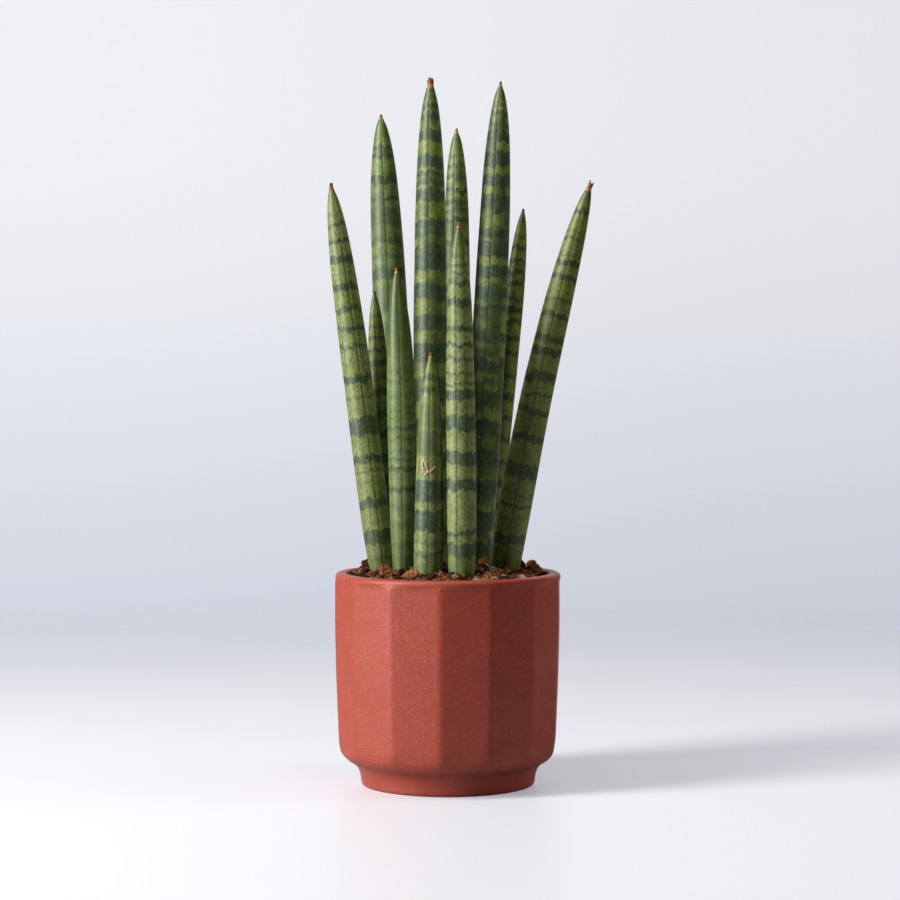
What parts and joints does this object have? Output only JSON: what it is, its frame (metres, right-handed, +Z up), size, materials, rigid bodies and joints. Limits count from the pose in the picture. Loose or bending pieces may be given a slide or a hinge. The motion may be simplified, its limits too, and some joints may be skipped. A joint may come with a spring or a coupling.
{
  "type": "cylindrical snake plant",
  "caption": "Clump of upright, tapering, cross-banded succulent leaves growing from coarse bark mix in a faceted red clay pot.",
  "frame": {"origin": "middle of the pot's flat base, on the surface that it stands on", "axes": "+Z up along the pot's axis; -Y towards the viewer of the reference picture; +X to the viewer's right"},
  "size_m": [0.1754, 0.1514, 0.4715],
  "materials": {
    "leaf": "satin",
    "red_clay": "matte",
    "potting_mix": "matte"
  },
  "bodies": {
    "root": {"leaf_01": "leaf", "leaf_02": "leaf", "leaf_03": "leaf", "leaf_04": "leaf", "leaf_05": "leaf", "leaf_06": "leaf", "leaf_07": "leaf", "leaf_08": "leaf", "leaf_09": "leaf", "leaf_10": "leaf", "leaf_11": "leaf", "pot": "red_clay", "potting_mix": "potting_mix"}
  },
  "joints": []
}
